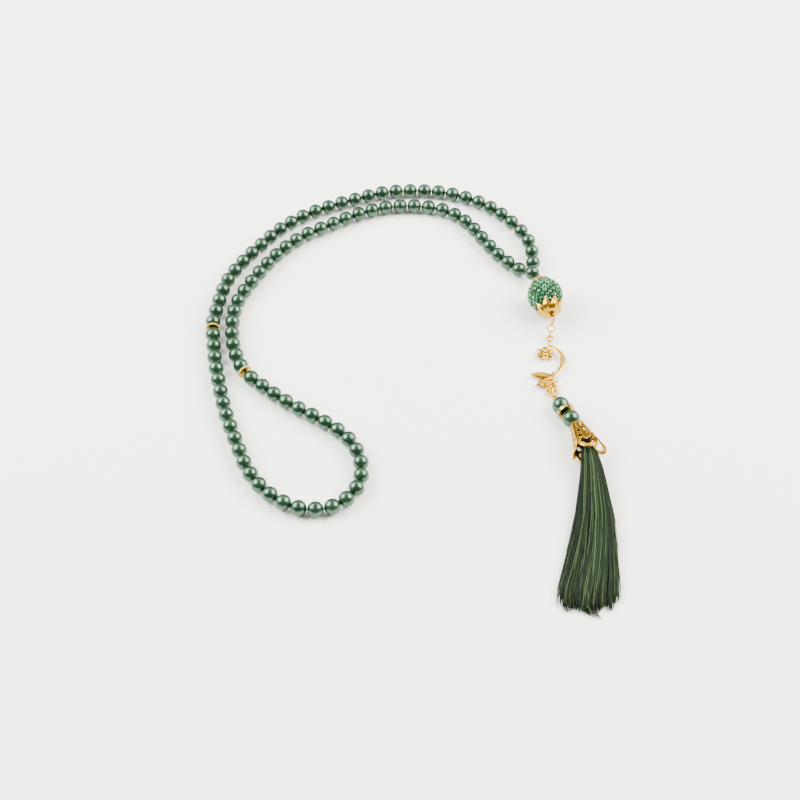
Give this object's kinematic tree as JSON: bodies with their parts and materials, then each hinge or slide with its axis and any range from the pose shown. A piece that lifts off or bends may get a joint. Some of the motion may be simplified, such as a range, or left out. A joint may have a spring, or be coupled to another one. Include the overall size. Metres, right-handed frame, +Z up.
{
  "type": "prayer beads",
  "caption": "Closed string of dark green pearl beads in three runs with gold spacers, a stone-set head ball, a crescent charm and a filigree-capped silk tassel.",
  "frame": {"origin": "middle of the laid-out piece's box, on the flat surface it lies on", "axes": "+Y from the tassel's end towards the far side of the loop, +X towards the side with the head ball, +Z up"},
  "size_m": [0.2038, 0.2968, 0.0189],
  "materials": {
    "bead_pearl": "dark bottle-green pearl coat over a bead, high gloss",
    "cord_thread": "twisted dark green thread",
    "ball_clay": "dark green setting clay",
    "green_stones": "cut crystal stones in mint and emerald green, foiled backs",
    "clear_stones": "clear cut crystal stones, foiled backs",
    "tassel_silk": "fine dark green silk threads with a soft sheen",
    "bright_gold_plate": "bright gold plate on cast grains",
    "gold_plate": "polished warm gold plate on cast brass"
  },
  "bodies": {
    "strand": {"outer_cord": "cord_thread", "inner_cord": "cord_thread", "cord_tie": "cord_thread", "outer_beads_1": "bead_pearl", "outer_beads_2": "bead_pearl", "outer_beads_3": "bead_pearl", "outer_beads_4": "bead_pearl", "outer_beads_5": "bead_pearl", "outer_beads_6": "bead_pearl", "outer_beads_7": "bead_pearl", "inner_beads_1": "bead_pearl", "inner_beads_2": "bead_pearl", "inner_beads_3": "bead_pearl", "inner_beads_4": "bead_pearl", "inner_beads_5": "bead_pearl", "inner_beads_6": "bead_pearl"},
    "collector": {"collector_bead": "bead_pearl"},
    "outer_arm": {"outer_arm_cord": "cord_thread", "outer_arm_beads": "bead_pearl"},
    "inner_arm": {"inner_arm_cord": "cord_thread", "inner_arm_beads": "bead_pearl"},
    "loop_end": {"loop_cord": "cord_thread", "outer_end_bead": "bead_pearl", "loop_beads_1": "bead_pearl", "loop_beads_2": "bead_pearl", "loop_beads_3": "bead_pearl", "loop_beads_4": "bead_pearl", "loop_beads_5": "bead_pearl", "loop_beads_6": "bead_pearl", "loop_beads_7": "bead_pearl", "loop_beads_8": "bead_pearl", "inner_end_beads": "bead_pearl"},
    "spacer_a": {"spacer_1": "bright_gold_plate"},
    "spacer_b": {"spacer_2": "bright_gold_plate"},
    "loose_bead": {"sliding_bead": "bead_pearl"},
    "head_wire": {"head_pin": "gold_plate"},
    "head_ball": {"ball_core": "ball_clay", "ball_stones": "green_stones", "top_cap": "gold_plate", "flower_cap": "gold_plate"},
    "link_a": {"link_1": "gold_plate"},
    "link_b": {"link_2": "gold_plate"},
    "link_c": {"link_3": "gold_plate"},
    "charm": {"crescent_charm": "gold_plate"},
    "link_d": {"lower_ring": "gold_plate"},
    "pendant_wire": {"pendant_pin": "gold_plate"},
    "drop_bead_a": {"pendant_bead_1": "bead_pearl"},
    "drop_rondelle": {"rondelle": "bright_gold_plate", "rondelle_stones": "clear_stones"},
    "drop_bead_b": {"pendant_bead_2": "bead_pearl"},
    "tassel_top": {"tassel_loop": "tassel_silk", "tassel_head": "tassel_silk", "tassel_binding": "tassel_silk"},
    "cone": {"filigree_cone": "gold_plate"},
    "tassel_threads": {"tassel_skirt": "tassel_silk"}
  },
  "joints": [
    {"name": "collector_spin", "type": "hinge", "parent": "strand", "child": "collector", "pos_m": [0.07172, 0.07295, 0.007], "axis": [-0.3384, 0.7972, -0.5], "continuous": true},
    {"name": "outer_arm_swing", "type": "hinge", "parent": "strand", "child": "outer_arm", "pos_m": [-0.08724, 0.08175, 0.004], "axis": [0, 0, 1], "range_deg": [-12, 12]},
    {"name": "inner_arm_swing", "type": "hinge", "parent": "strand", "child": "inner_arm", "pos_m": [-0.07757, 0.07292, 0.004], "axis": [0, 0, 1], "range_deg": [-12, 12]},
    {"name": "loop_end_swing", "type": "hinge", "parent": "outer_arm", "child": "loop_end", "pos_m": [-0.0975, 0.0428, 0.004], "axis": [0, 0, 1], "range_deg": [-12, 12]},
    {"name": "spacer_1_spin", "type": "hinge", "parent": "loop_end", "child": "spacer_a", "pos_m": [-0.09778, 0.03395, 0.004], "axis": [0.0859, -0.9963, 0], "continuous": true},
    {"name": "spacer_2_spin", "type": "hinge", "parent": "loop_end", "child": "spacer_b", "pos_m": [-0.07878, 0.00275, 0.004], "axis": [-0.5578, 0.83, 0], "continuous": true},
    {"name": "loose_bead_slide", "type": "slide", "parent": "loop_end", "child": "loose_bead", "axis": [-0.6921, 0.7218, 0], "range_m": [0, 0.0007]},
    {"name": "head_swing", "type": "hinge", "parent": "strand", "child": "head_wire", "pos_m": [0.07439, 0.06655, 0.01069], "axis": [0, 0, 1], "range_deg": [-8, 25]},
    {"name": "head_ball_spin", "type": "hinge", "parent": "head_wire", "child": "head_ball", "pos_m": [0.07722, 0.05325, 0.0095], "axis": [0.2071, -0.9744, -0.0872], "continuous": true},
    {"name": "link_1_swing", "type": "hinge", "parent": "head_wire", "child": "link_a", "pos_m": [0.08066, 0.03707, 0.00805], "axis": [0, 0, 1], "range_deg": [-4, 20]},
    {"name": "link_2_swing", "type": "hinge", "parent": "link_a", "child": "link_b", "pos_m": [0.07973, 0.03362, 0.00591], "axis": [0, 0, 1], "range_deg": [-4, 20]},
    {"name": "link_3_swing", "type": "hinge", "parent": "link_b", "child": "link_c", "pos_m": [0.0795, 0.03276, 0.00511], "axis": [0, 0, 1], "range_deg": [-4, 20]},
    {"name": "charm_swing", "type": "hinge", "parent": "link_c", "child": "charm", "pos_m": [0.0785, 0.02902, 0.00163], "axis": [0, 0, 1], "range_deg": [-4, 15]},
    {"name": "lower_ring_swing", "type": "hinge", "parent": "charm", "child": "link_d", "pos_m": [0.07868, -0.01092, 0.00224], "axis": [0, 0, 1], "range_deg": [-4, 20]},
    {"name": "pendant_swing", "type": "hinge", "parent": "link_d", "child": "pendant_wire", "pos_m": [0.07811, -0.01493, 0.00412], "axis": [0, 0, 1], "range_deg": [-4, 20]},
    {"name": "pendant_bead_1_spin", "type": "hinge", "parent": "pendant_wire", "child": "drop_bead_a", "pos_m": [0.08082, -0.02074, 0.00462], "axis": [0.4213, -0.9035, 0.0785], "continuous": true},
    {"name": "rondelle_spin", "type": "hinge", "parent": "pendant_wire", "child": "drop_rondelle", "pos_m": [0.08303, -0.02548, 0.00503], "axis": [0.4213, -0.9035, 0.0785], "continuous": true},
    {"name": "pendant_bead_2_spin", "type": "hinge", "parent": "pendant_wire", "child": "drop_bead_b", "pos_m": [0.08525, -0.03023, 0.00544], "axis": [0.4213, -0.9035, 0.0785], "continuous": true},
    {"name": "tassel_swing", "type": "hinge", "parent": "pendant_wire", "child": "tassel_top", "pos_m": [0.08777, -0.03565, 0.00591], "axis": [0, 0, 1], "range_deg": [-4, 8]},
    {"name": "cone_spin", "type": "hinge", "parent": "tassel_top", "child": "cone", "pos_m": [0.08966, -0.0442, 0.00643], "axis": [0.2415, -0.9685, 0.061], "continuous": true},
    {"name": "tassel_threads_swing", "type": "hinge", "parent": "tassel_top", "child": "tassel_threads", "pos_m": [0.09087, -0.04905, 0.00673], "axis": [0, 0, 1], "range_deg": [-4, 6]}
  ],
  "couplings": [
    {"joint": "inner_arm_swing", "follows": "outer_arm_swing", "ratio": 1},
    {"joint": "loop_end_swing", "follows": "outer_arm_swing", "ratio": -1}
  ]
}
